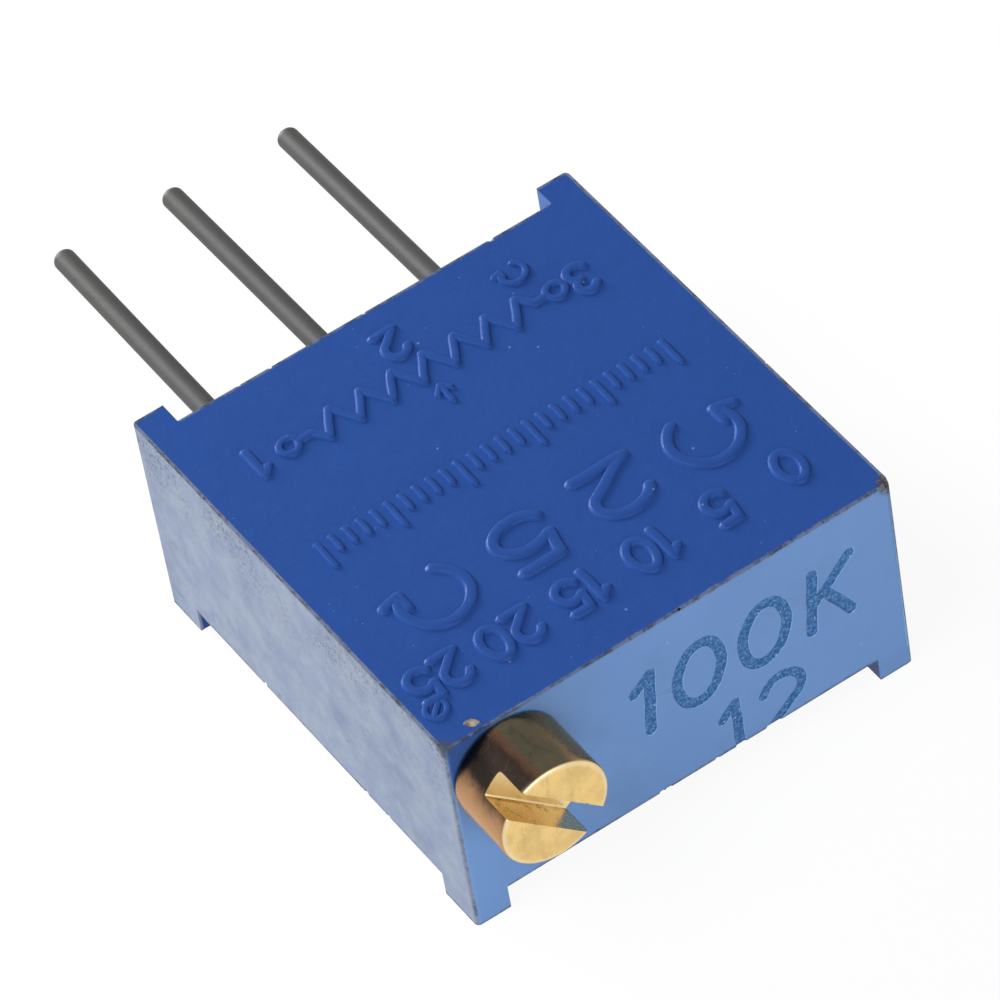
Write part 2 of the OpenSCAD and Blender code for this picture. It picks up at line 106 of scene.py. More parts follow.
class CaseSettings(bpy.types.PropertyGroup):
    """The moulded case and its marks."""
    body: colour_setting("Body", "Colour of the moulded plastic", (0.0165, 0.0680, 0.2920))
    # The haze colour is partly dust and partly painted sheen on the side walls
    haze: colour_setting("Haze", "Colour of the dusty haze on the left side", (0.300, 0.347, 0.414))
    worn_edge: colour_setting("Worn edge", "Colour of the rubbed edges", (0.05, 0.047, 0.042))
    ink: colour_setting("Code", "Colour of the burnt-in code", (0.017, 0.098, 0.290))
    edge_round: length_setting("Edge rounding", "Radius of the moulded edges", 0.03, 0.01, 0.1)
    mark_height: length_setting("Mark height", "Height of the raised marks", 0.05, 0.02, 0.15)
    code_depth: length_setting("Code depth", "Depth of the burnt-in code", 0.03, 0.01, 0.08)


class MetalSettings(bpy.types.PropertyGroup):
    """The screw and the pins."""
    brass: colour_setting("Brass", "Colour of the turned brass", (0.79, 0.56, 0.225))
    # This darkened colour is partly tarnish and partly a painted dark reflection on the upper left of the
    # barrel
    tarnish_and_dark_reflection: colour_setting("Tarnish", "Colour of the brass where it has darkened", (0.026, 0.020, 0.018))
    pin: colour_setting("Pins", "Colour of the dull tin plate", (0.063, 0.0625, 0.061))
    slot_width: length_setting("Slot width", "Width of the driver slot", 0.55, 0.4, 0.7)
    slot_depth: length_setting("Slot depth", "Depth of the driver slot", 0.7, 0.5, 0.9)
    slot_angle: FloatProperty(name="Slot angle", description="Turn of the slot about the screw's axis",
                              subtype="ANGLE", unit="ROTATION", default=math.radians(45))


class StageSettings(bpy.types.PropertyGroup):
    """Floor, lamps and camera."""
    floor: colour_setting("Floor", "Colour of the floor", (0.90, 0.90, 0.90))
    key_lamp: power_setting("Key lamp", "Power of the low lamp behind the pins", 0.290)
    side_lamp: power_setting("Side lamp", "Power of the lamp above on the left", 0.140)
    front_lamp: power_setting("Front lamp", "Power of the lamp in front", 0.100)
    lens: FloatProperty(name="Lens", description="Focal length of the camera", unit="CAMERA",
                        default=286.8, min=50)


# ---------- surfaces ----------

def grid_faces(rows, columns, wrap_rows=False, wrap_columns=False):
    """Quads of a grid of rows x columns points, each as four indices, closed on itself where asked."""
    i = np.arange(rows if wrap_rows else rows - 1)[:, None]
    j = np.arange(columns if wrap_columns else columns - 1)[None, :]
    i2, j2 = (i + 1) % rows, (j + 1) % columns
    corners = [i * columns + j, i * columns + j2, i2 * columns + j2, i2 * columns + j]
    return np.stack([c.ravel() for c in np.broadcast_arrays(*corners)], axis=1)


def joined(patches):
    """Several (points, quads) patches as one."""
    points, quads, offset = [], [], 0
    for p, q in patches:
        p = p.reshape(-1, 3)
        points.append(p)
        quads.append(q + offset)
        offset += len(p)
    return np.concatenate(points), np.concatenate(quads)


def linked(name, data):
    """A new object in the scene."""
    obj = bpy.data.objects.new(name, data)
    bpy.context.scene.collection.objects.link(obj)
    return obj


def new_object(name, patches, smooth_angle=math.radians(35)):
    """An object whose mesh is these patches, given in millimetres, merged and turned outwards."""
    points, quads = joined(patches)
    mesh = bpy.data.meshes.new(name)
    mesh.from_pydata(points * MM, [], quads)
    mesh.validate()
    tidy_mesh(mesh, smooth_angle)
    return linked(name, mesh)


def merge(mesh, doubles, clean):
    """Merges the doubles of a mesh, cleans it in one way, and turns its faces outwards."""
    shape = bmesh.new()
    shape.from_mesh(mesh)
    bmesh.ops.remove_doubles(shape, verts=shape.verts, dist=doubles)
    clean(shape)
    bmesh.ops.recalc_face_normals(shape, faces=shape.faces)
    shape.to_mesh(mesh)
    shape.free()


def tidy_mesh(mesh, smooth_angle):
    """Drops doubles and faces without area, and shades the mesh smooth up to an angle."""
    merge(mesh, DOUBLES, lambda shape: bmesh.ops.dissolve_degenerate(shape, edges=shape.edges, dist=DOUBLES))
    mesh.shade_smooth()
    mesh.set_sharp_from_angle(angle=smooth_angle)


def merged_copy(node, name):
    """A copy of a CAD node with its loose triangles merged and its flat faces made whole."""
    mesh = frame["nodes"][node].data.copy()
    mesh.name = name
    mesh.materials.clear()
    merge(mesh, 2e-7, lambda shape: bmesh.ops.dissolve_limit(
        shape, angle_limit=math.radians(0.5), verts=shape.verts, edges=shape.edges))
    return linked(name, mesh)


def settle(obj):
    """Puts what the modifiers make into the object's own mesh."""
    graph = bpy.context.evaluated_depsgraph_get()
    made = bpy.data.meshes.new_from_object(obj.evaluated_get(graph))
    old = obj.data
    obj.modifiers.clear()
    obj.data = made
    bpy.data.meshes.remove(old)


def combine(obj, other, operation):
    """Cuts another object's solid from the object's mesh or joins it on, and removes the other."""
    tool = obj.modifiers.new("combine", "BOOLEAN")
    tool.operation, tool.solver, tool.object = operation, "EXACT", other
    settle(obj)
    mesh = other.data
    bpy.data.objects.remove(other)
    bpy.data.meshes.remove(mesh)


def bevel(obj, width, angle):
    """Rounds the edges that turn by more than an angle."""
    tool = obj.modifiers.new("round", "BEVEL")
    tool.width, tool.segments = width, 2
    tool.limit_method, tool.angle_limit = "ANGLE", angle
    tool.use_clamp_overlap, tool.harden_normals = True, False
    settle(obj)


def flat_normals(mesh, area):
    """Shades faces larger than an area, in square millimetres, flat, so that the shading turns only in
    the small faces of rounded edges."""
    for face in mesh.polygons:
        if face.area > area * MM ** 2:
            for k in face.loop_indices:
                mesh.edges[mesh.loops[k].edge_index].use_edge_sharp = True


# ---------- strokes: raised on the front wall, sunk in the end wall ----------

def arc(cx, cy, rx, ry, start, end, steps=28):
    """Points of an ellipse from one angle to another, in degrees."""
    a = np.radians(np.linspace(start, end, steps))
    return np.stack([cx + rx * np.cos(a), cy + ry * np.sin(a)], axis=1)


def line(*corners):
    """A straight or broken path through corners."""
    return np.array(corners, float)


# Every figure stands on the base line, is 1 high, and is a list of strokes
FIGURES = {
    "0": (0.62, [arc(0.31, 0.5, 0.31, 0.5, 0, 360)]),
    "1": (0.30, [line((0.22, 0), (0.22, 1)), line((0.22, 1), (0, 0.78))]),
    "2": (0.62, [np.concatenate([arc(0.31, 0.69, 0.30, 0.31, 165, -38), line((0.0, 0.0))]),
                 line((0, 0), (0.62, 0))]),
    "3": (0.58, [arc(0.27, 0.76, 0.26, 0.24, 155, -80), arc(0.27, 0.27, 0.30, 0.27, 80, -155)]),
    "5": (0.60, [line((0.54, 1), (0.10, 1)), line((0.10, 1), (0.04, 0.55)),
                 np.concatenate([line((0.04, 0.55)), arc(0.28, 0.33, 0.31, 0.33, 128, -150)])]),
    "K": (0.62, [line((0.06, 0), (0.06, 1)), line((0.58, 1), (0.06, 0.42)), line((0.24, 0.60), (0.62, 0))]),
}


def even_steps(path, step):
    """The path's points set at equal steps along it."""
    gaps = np.linalg.norm(np.diff(path, axis=0), axis=1)
    along = np.concatenate([[0], np.cumsum(gaps)])
    count = max(2, int(round(along[-1] / step)) + 1)
    at = np.linspace(0, along[-1], count)
    return np.stack([np.interp(at, along, path[:, k]) for k in (0, 1)], axis=1)


def stroke(path, half, rise, place, sink=0.012, below=0.05, step=0.05):
    """A bead along a flat path. At distance r from the path its height is rise times a dome that falls
    from 1 to 0 at r = half, less a little sink; its ends are round. A flat bottom closes it.
    place maps (right, up, height) to the object's millimetres."""
    closed = np.linalg.norm(path[0] - path[-1]) < 1e-6
    points = even_steps(path, step)
    if closed:
        points = points[:-1]
        tangent = np.roll(points, -1, axis=0) - np.roll(points, 1, axis=0)
    else:
        tangent = np.gradient(points, axis=0)
    tangent /= np.linalg.norm(tangent, axis=1, keepdims=True)
    beyond = np.zeros((len(points), 1))
    if not closed:
        cap = half * np.sin(np.radians([22, 45, 66, 82, 90]))[:, None]
        points = np.concatenate([points[0] - cap[::-1] * tangent[0], points, points[-1] + cap * tangent[-1]])
        tangent = np.pad(tangent, ((len(cap), len(cap)), (0, 0)), "edge")
        beyond = np.concatenate([cap[::-1], beyond, cap])
    normal = np.stack([-tangent[:, 1], tangent[:, 0]], axis=1)
    flank = np.array([0.55, 0.61, 0.68, 0.76, 0.84, 0.92, 1])
    across = np.concatenate([-flank[::-1], [0], flank, [1, -1]])
    offset = across * np.sqrt(np.maximum(half ** 2 - beyond ** 2, 0))
    r = np.clip(np.hypot(offset, beyond) / half, 0, 1)
    fall = np.clip((r - flank[0]) / (1 - flank[0]), 0, 1)
    height = (rise + sink) * (1 - fall ** 2 * (3 - 2 * fall)) - sink - 0.04 * rise * r ** 2
    height[:, -2:] = -below
    waver = 0.006 * np.stack([np.sin(9 * points[:, 1] + 4 * points[:, 0]), np.sin(7 * points[:, 0])], axis=1)
    flat = points[:, None, :] + offset[:, :, None] * normal[:, None, :] + waver[:, None, :]
    solid = place(flat[..., 0], flat[..., 1], height)
    return solid, grid_faces(*offset.shape, wrap_rows=closed, wrap_columns=True)


def front_place(x, y):
    """Reading frame on the front wall in millimetres, with its origin at x, and y from the screw end."""
    def place(right, up, height):
        return np.stack([x - right, END_Y + y - up, FRONT_Z + height], axis=-1)
    return place


def end_place(x, z):
    """Reading frame on the screw-end wall in millimetres, from left to right as seen from outside."""
    def place(right, up, height):
        return np.stack([x + right, END_Y - height + 0 * right, z + up], axis=-1)
    return place


def written(text, size, width, gap):
    """The strokes of a text, and its length, in millimetres."""
    strokes, at = [], 0.0
    for figure in text:
        advance, paths = FIGURES[figure]
        strokes += [path * [width * size, size] + [at, 0] for path in paths]
        at += advance * size * width + gap
    return strokes, at - gap


def turning_arrow(size, side):
    """An open ring with an arrowhead, for a direction of turning: side is 1 for clockwise, or else -1."""
    ring = arc(0, 0, 1, 1, 90 + side * 150, 90 - side * 130, 44)
    tip, near = ring[-1], ring[-2]
    back = (near - tip) / np.linalg.norm(near - tip)
    aside = np.array([-back[1], back[0]])
    lean = math.radians(38)
    barbs = [line(tip, tip + 0.55 * (back * math.cos(lean) + aside * s * math.sin(lean))) for s in (-1, 1)]
    return [path * size / 2 for path in [ring] + barbs]


def front_marks_patches(rise):
    """All the raised marks: pin numbers, the circuit symbol, a scale of turns, and the number of turns
    between two turning arrows."""
    beads = []

    def add(strokes, x, y, half, low=1.0):
        for path in strokes:
            beads.append(stroke(path, half, rise * low, front_place(x, y)))

    def centred(text, x, y, size, width, half):
        strokes, length = written(text, size, width, 0.15)
        add([s - [length / 2, size / 2] for s in strokes], x, y, half)

    # Pin numbers and the symbol of a resistor with its wiper
    thin, bold, symbol_y = 0.085, 0.12, 7.68
    for text, x, y in (("1", -3.55, 7.72), ("2", -0.10, 8.52), ("3", 3.42, 7.62)):
        centred(text, x, y, 0.70, 1.0, bold)
    teeth = np.arange(14)
    zigzag = np.stack([-2.21 + teeth * 0.34, np.where(teeth % 2, 0.3, -0.3)], axis=1)
    zigzag = np.concatenate([line((-2.72, 0), (-2.42, 0)), zigzag, line((2.42, 0), (2.72, 0))])
    for a, b in zip(zigzag[:-1], zigzag[1:]):
        add([line(a, b)], 0.0, symbol_y, 0.11)
    for x in (-2.9, 2.9):
        add([arc(0, 0, 0.19, 0.19, 0, 360)], x, symbol_y, 0.095)
    tip = (0, 0.55)
    add([line(tip, (0, 1.0)), line(tip, (-0.14, 0.72)), line(tip, (0.14, 0.72))], -0.02, symbol_y, thin)
    add(turning_arrow(0.5, 1), 2.55, 8.55, thin)

    # A scale with a tick for every turn, and its numbers
    tick_gap, first_x = 0.298, 3.62
    for turn in range(26):
        tall = 0.62 if turn % 5 == 0 else 0.36
        add([line((0, -0.31), (0, tall - 0.31))], first_x - turn * tick_gap, 5.08, thin)
    for k in range(6):
        centred(str(5 * k), first_x - k * 1.50, 1.45, 0.76, 1.0, bold)

    # The number of turns between two turning arrows
    for text, x in (("2", 0.98), ("5", -0.95)):
        centred(text, x, 3.03, 1.18, 1.5, 0.15)
    for side in (-1, 1):
        add(turning_arrow(1.32, side), -2.90 * side, 3.03, 0.14)

    # The symbol of a slotted screw head beside the screw
    add([arc(0, 0, 0.2, 0.2, 0, 360), line((-0.12, -0.12), (0.12, 0.12))], -4.33, 0.86, 0.075, 0.8)
    return beads


def end_code_patches(depth):
    """Cutters for the value code in the screw-end wall, and for a mould number that the rim cuts off."""
    return [stroke(path + path[:, 1:] * [slant, 0], half, -depth, end_place(x, z), sink=-0.02, below=-0.06,
                   step=0.06)
            for text, x, z, size, width, half, slant in (("100K", -1.05, 2.25, 1.42, 1.08, 0.16, 0.10),
                                                         ("12", 0.72, 0.42, 1.25, 1.1, 0.145, 0.0))
            for path in written(text, size, width, 0.46)[0]]


def chip(centre, size, draw):
    """A lumpy blob around a point, for a chip out of an edge. Its radius in the direction d is
    size * (1 + the sum of 0.16 cos(w . d + p)) over four random waves w and phases p."""
    u = np.linspace(0, 2 * np.pi, 12, endpoint=False)
    v = np.linspace(0, np.pi, 8)[:, None]
    way = np.stack([np.sin(v) * np.cos(u), np.sin(v) * np.sin(u), np.cos(v) + 0 * u], axis=-1)
    waves, phases = draw.normal(0, 2.6, (4, 3)), draw.uniform(0, 2 * np.pi, 4)
    radius = size * (1 + 0.16 * np.cos(way @ waves.T + phases).sum(axis=-1))
    return np.array(centre) + radius[..., None] * way, grid_faces(8, 12, wrap_columns=True)


def edge_chips():
    """Chips along the edges of the case, and one at each front corner of the screw end."""
    draw = np.random.default_rng(7)
    w, front, end, back = HALF_WIDTH, FRONT_Z, END_Y, PIN_FACE_Y
    edges = [((-w, end, front), (-w, back, front), 7), ((-w, end, front), (w, end, front), 6),
             ((-w, end, 0), (-w, end, front), 4), ((w, end, 0), (w, end, front), 3),
             ((-3.6, end, RIM_Z), (3.8, end, RIM_Z), 5), ((-w, end + 1.4, RIM_Z), (-w, back - 1.2, RIM_Z), 4),
             ((w, end, front), (w, back, front), 4), ((-3.5, back, front), (3.5, back, front), 4)]
    chips = [chip((w + 0.03, end - 0.03, front + 0.02), 0.19, draw),
             chip((-w - 0.02, end - 0.02, front + 0.02), 0.10, draw)]
    for start, stop, count in edges:
        start, stop = np.array((start, stop), float)
        for share in draw.uniform(0.04, 0.96, count):
            size = draw.uniform(0.035, 0.085)
            centre = start + share * (stop - start) + draw.uniform(-0.35, 0.35, 3) * size
            side = math.copysign(1, start[0]) if start[0] == stop[0] else 0
            outward = np.array([side, -1 if start[1] == end else 0, 1 if start[2] == stop[2] == front else 0])
            chips.append(chip(centre + outward * size * 0.45, size, draw))
    return chips


# ---------- finishes ----------

def maths(operation, reflected=False):
    """A method of Wire that adds a Math node; the reflected form has its values the other way round."""
    def method(self, *other):
        values = [*other, self] if reflected else [self, *other]
        return self.finish.node("ShaderNodeMath", {"operation": operation}, values)
    return method


class Wire:
    """A socket of a shader, on which sums and products can be written."""
    __add__, __radd__ = maths("ADD"), maths("ADD", True)
    __sub__, __rsub__ = maths("SUBTRACT"), maths("SUBTRACT", True)
    __mul__, __rmul__ = maths("MULTIPLY"), maths("MULTIPLY", True)
    __truediv__, __abs__ = maths("DIVIDE"), maths("ABSOLUTE")
    least, most = maths("MINIMUM"), maths("MAXIMUM")

    def __init__(self, finish, socket):
        self.finish, self.socket = finish, socket

    def rise(self, low, high):
        """0 below low, 1 above high, and smooth between; low above high turns it round."""
        if low > high:
            return 1 - self.rise(high, low)
        return self.finish.node("ShaderNodeMapRange", {"interpolation_type": "SMOOTHSTEP"},
                                {"Value": self, "From Min": low, "From Max": high})


class Nodes:
    """The nodes of one material or world."""

    def __init__(self, owner, output):
        owner.use_nodes = True
        self.tree = owner.node_tree
        self.tree.nodes.clear()
        self.output = self.tree.nodes.new(output)

    def node(self, kind, settings, inputs, output=0):
        """Adds a node with its settings, links or sets its inputs, and returns one output as a wire."""
        made = self.tree.nodes.new(kind)
        for key, value in settings.items():
            setattr(made, key, value)
        pairs = inputs.items() if isinstance(inputs, dict) else enumerate(inputs)
        for key, value in pairs:
            socket = made.inputs[key]
            if isinstance(value, Wire):
                self.tree.links.new(value.socket, socket)
            elif socket.type == "RGBA":
                socket.default_value = (*value, 1.0)
            else:
                socket.default_value = value
        return made if output is None else Wire(self, made.outputs[output])

    def close(self, shader):
        """Joins the last shader to the output."""
        self.tree.links.new(shader.socket, self.output.inputs["Surface"])

    def seen(self):
        """1 for rays from the camera, from glossy surfaces and through clear ones."""
        path = self.node("ShaderNodeLightPath", {}, {}, None)
        camera, glossy, clear = (Wire(self, path.outputs[f"Is {way} Ray"])
                                 for way in ("Camera", "Glossy", "Transmission"))
        return camera.most(glossy).most(clear)


class Finish(Nodes):
    """A node material that is worked out on Object coordinates, in millimetres."""

    def __init__(self, name):
        self.material = bpy.data.materials.new(name)
        super().__init__(self.material, "ShaderNodeOutputMaterial")
        place = self.node("ShaderNodeTexCoord", {}, {}, "Object")
        self.place = self.node("ShaderNodeVectorMath", {"operation": "SCALE"}, {0: place, "Scale": 1000.0})
        split = self.node("ShaderNodeSeparateXYZ", {}, {0: self.place}, None)
        self.x, self.y, self.z = (Wire(self, s) for s in split.outputs)

    def reach(self, x, y, z):
        """The length of the vector with these three parts."""
        way = self.node("ShaderNodeCombineXYZ", {}, {0: x, 1: y, 2: z})
        return self.node("ShaderNodeVectorMath", {"operation": "LENGTH"}, {0: way}, "Value")

    def noise(self, scale, detail=2.0, rough=0.5, stretch=None):
        """Noise from 0 to 1, with scale in cells to a millimetre."""
        place = self.place
        if stretch:
            place = self.node("ShaderNodeVectorMath", {"operation": "MULTIPLY"}, {0: place, 1: stretch})
        return self.node("ShaderNodeTexNoise", {},
                         {"Vector": place, "Scale": scale, "Detail": detail, "Roughness": rough})

    def ridges(self, along, scale):
        """Noise that changes only along one measure, such as the marks of a turning tool."""
        return self.node("ShaderNodeTexNoise", {"noise_dimensions": "1D"},
                         {"W": along, "Scale": scale, "Detail": 2.0})

    def specks(self, scale, radius, share):
        """Round specks at random places: 1 inside a speck, for a share of the cells."""
        cell = self.node("ShaderNodeTexVoronoi", {}, {"Vector": self.place, "Scale": scale}, None)
        distance, colour = (Wire(self, cell.outputs[name]) for name in ("Distance", "Color"))
        chance = self.node("ShaderNodeSeparateColor", {}, {0: colour}, "Red")
        size = self.node("ShaderNodeSeparateColor", {}, {0: colour}, "Green")
        speck = (distance / (size * 0.7 + 0.5)).rise(radius * scale * 1.3, radius * scale * 0.6)
        return speck * chance.rise(1 - share, 1 - share + 0.001)

    def mix(self, mask, low, high):
        """The colour low where the mask is 0 and high where it is 1."""
        return self.node("ShaderNodeMix", {"data_type": "RGBA"}, {0: mask, 6: low, 7: high}, 2)

    def over(self, colour, *layers):
        """The colour with layers laid over it in turn, each given by its mask and its colour."""
        for mask, layer in layers:
            colour = self.mix(mask, colour, layer)
        return colour

    def bump(self, height, distance, under=None):
        """A normal from a height; distance is how high 1 stands, in millimetres."""
        inputs = {"Height": height, "Distance": distance * MM, "Strength": 1.0}
        if under:
            inputs["Normal"] = under
        return self.node("ShaderNodeBump", {}, inputs)

    def surface(self, colour, roughness, normal=None, metallic=0.0, coat=0.0, specular=0.5,
                edge_tint=(1.0, 1.0, 1.0)):
        """Closes the material with one plain shader; edge_tint colours a metal's glancing reflections."""
        inputs = {"Base Color": colour, "Roughness": roughness, "Metallic": metallic,
                  "Coat Weight": coat, "Specular IOR Level": specular, "Specular Tint": edge_tint}
        if normal:
            inputs["Normal"] = normal
        self.close(self.node("ShaderNodeBsdfPrincipled", {}, inputs, "BSDF"))
        return self.material


def tone(colour, factor):
    """The colour made lighter or darker."""
    return tuple(min(1.0, c * factor) for c in colour)


# Colours of painted sheen, where the case's plain skin catches the light, and of dirt and dust on it
PAINTED_SHEEN = (0.238, 0.432, 0.77)
STAIN = (0.085, 0.125, 0.215)
DIRT = (0.07, 0.09, 0.13)
SMUDGE = (0.10, 0.16, 0.26)
PALE_SPECK = (0.55, 0.66, 0.82)
DUST_SPECK = (0.45, 0.56, 0.74)
DARK_SPECK = (0.04, 0.05, 0.08)
GRIME = (0.06, 0.062, 0.066)


def case_finish(settings):
    """Blue thermoset with a satin skin, rubbed edges with painted highlights, dust and painted sheen on the
    walls, a painted shadow of the screw head, specks and the burnt-in code.
    """
    f = Finish("blue_thermoset")
    body = settings.body
    x, y, z = f.x, f.y, f.z
    down, depth = FRONT_Z - z, y - END_Y
    cloud = f.noise(0.7, 3.0)
    grain = f.noise(9.0, 3.0, 0.6)

    # Masks of the walls: each is 1 on its own wall, and left is 0.6 on the right one
    left = (x + HALF_WIDTH).rise(0.07, 0.03) + (HALF_WIDTH - x).rise(0.07, 0.03) * 0.6
    below_front = down.rise(0.01, 0.05)
    pin_side = (PIN_FACE_Y - y).rise(0.05, 0.02) * below_front * (1 - left)
    end = depth.rise(0.034, 0.026) * below_front * (1 - left)

    # The plastic, with a haze of dust and painted sheen, scuffs, stains and dirt on the side walls, and
    # painted sheen on the pin side
    scuff = f.noise(1.5, 6.0, 0.72).rise(0.32, 0.68)
    stain = f.noise(0.62, 5.0, 0.7).rise(0.50, 0.64) * f.noise(6.0, 4.0, 0.7).rise(0.30, 0.62)
    pepper = f.noise(15.0, 4.0, 0.7)
    dirt = pepper.rise(0.51, 0.60) * f.noise(0.9, 3.0, 0.6).rise(0.42, 0.56) * down.rise(2.2, 0.1)
    colour = f.over(f.mix(cloud, tone(body, 0.94), tone(body, 1.07)),
                    (grain.rise(0.35, 0.75) * 0.25, tone(body, 1.25)),
                    (left * (0.66 + 0.24 * scuff), settings.haze),
                    (left * stain * 0.38, STAIN),
                    (left * dirt * 0.75, DIRT),
                    (pin_side * (0.20 + 0.12 * cloud), PAINTED_SHEEN))

    # The end wall is painted paler with painted sheen, except in the painted shadow of the screw head
    from_screw = f.reach(x - SCREW_X, 0.0, z - SCREW_Z)
    # A painted shadow up and to the left of the screw head, where the head shades the end wall
    screw_head_shadow = ((z - SCREW_Z) * 0.643 - (x - SCREW_X) * 0.766) / from_screw
    screw_head_shadow = screw_head_shadow.rise(0.66, 0.84) * (from_screw + 0.3 * (cloud - 0.5)).rise(1.9, 1.5)
    colour = f.over(colour,
                    (end * (0.55 + 0.10 * cloud) * (1 - screw_head_shadow * 0.85), PAINTED_SHEEN),
                    (end * f.noise(0.55, 3.0, 0.6).rise(0.50, 0.66) * 0.10, SMUDGE),
                    (f.specks(2.6, 0.022, 0.34) * (0.26 + 0.46 * end), PALE_SPECK),
                    (f.specks(5.0, 0.012, 0.30) * (0.25 + 0.30 * end), DUST_SPECK),
                    (f.specks(1.7, 0.045, 0.12) * 0.35 * (0.4 + left), DARK_SPECK))

    # The code, inside its own field: dark and peppered where it is sunk, with a pale burr along its edge
    field = depth.rise(0.10, 0.08) * (x + 2.3).rise(0.0, 0.05) * (z - 0.4).rise(0.0, 0.05)
    field = field * (down - 0.1).rise(0.0, 0.02)
    uneven = depth + (f.noise(16.0, 3.0, 0.65) - 0.5) * 0.022
    sunk = uneven.rise(0.008, 0.014) * depth.rise(0.001, 0.004) * field
    burr = depth.rise(0.0003, 0.0015) * uneven.rise(0.014, 0.008) * field
    code = f.over(settings.ink, (pepper.rise(0.42, 0.66), (0.105, 0.280, 0.560)),
                  (f.specks(9.0, 0.024, 0.26) * 0.8, (0.45, 0.62, 0.80)))
    colour = f.over(colour, (burr * (0.35 + 0.5 * grain), (0.31, 0.53, 0.80)),
                    (sunk * f.noise(8.0, 3.0, 0.7).rise(0.10, 0.45), code))

    # Rubbed edges, dark with wear and pale with painted highlights: the middle one of the distances to the
    # nearest walls is small only near an edge
    pin_foot = (abs(x) - 4.08).rise(0.0, 0.001) * FOOT_HEIGHT
    near_end = (abs(y - (END_Y + CASE_HIGH[1]) / 2) - 4.0).rise(0.0, 0.001)
    back_foot = (abs(x) - 4.03).rise(0.0, 0.001) * near_end
    from_side = HALF_WIDTH - abs(x)
    from_end = depth.least(PIN_FACE_Y + pin_foot - y)
    from_front = down.least(abs(z - RIM_Z * (1 - back_foot)))
    least = from_side.least(from_end).least(from_front)
    most = from_side.most(from_end).most(from_front)
    to_edge = from_side + from_end + from_front - least - most
    ragged = to_edge + (f.noise(9.0, 4.0, 0.75) - 0.5) * 0.12 + (f.noise(1.1, 2.0) - 0.5) * 0.07
    rubbed = ragged.rise(0.07, 0.015)
    wear_and_highlight = f.noise(3.5, 4.0, 0.7).rise(0.36, 0.56)
    # The pale colour is a painted highlight along the rounded edges; the dark one is wear
    wear_and_highlight = f.mix(wear_and_highlight, settings.worn_edge, (0.15, 0.185, 0.27))
    colour = f.mix(rubbed * 0.85, colour, wear_and_highlight)

    # The broken corner far from the screw, and the soiled one beside it
    broken = f.reach(x - HALF_WIDTH, depth, z - FRONT_Z) + (f.noise(6.0, 3.0, 0.7) - 0.5) * 0.25
    inner = f.mix(f.noise(12.0, 3.0, 0.7).rise(0.4, 0.6), (0.03, 0.03, 0.032), (0.16, 0.14, 0.11))
    colour = f.mix(broken.rise(0.30, 0.20) * 0.85, colour, inner)
    soiled = f.reach(x + HALF_WIDTH, depth, z - FRONT_Z) + (f.noise(5.0, 3.0, 0.7) - 0.5) * 0.45
    colour = f.mix(soiled.rise(0.34, 0.14) * (0.75 - 0.5 * end), colour, GRIME)

    # A crumb of dirt beside the screw: an ellipse turned by 39 degrees, given by its middle and half sizes
    from_x, from_y = x + 4.01, depth - 0.217
    crumb = f.reach((from_x * 0.775 - from_y * 0.632) / 0.14, (from_x * 0.632 + from_y * 0.775) / 0.088, 0.0)
    crumb = (crumb + (grain - 0.5) * 0.9).rise(1.1, 0.9) * down.rise(0.05, 0.02)
    soil = f.mix(f.noise(8.0, 3.0).rise(0.3, 0.7), (0.16, 0.12, 0.08), (0.50, 0.42, 0.30))
    colour = f.mix(crumb * 0.9, colour, soil)

    roughness = 0.36 + 0.10 * grain + 0.12 * left + 0.2 * rubbed
    skin = f.bump(f.noise(14.0, 3.0, 0.6), 0.004)
    skin = f.bump(f.noise(2.2, 2.0), 0.010, under=skin)
    skin = f.bump(pepper * sunk, 0.012, under=skin)
    return f.surface(colour, roughness, f.bump(crumb, 0.03, under=skin), specular=0.15)


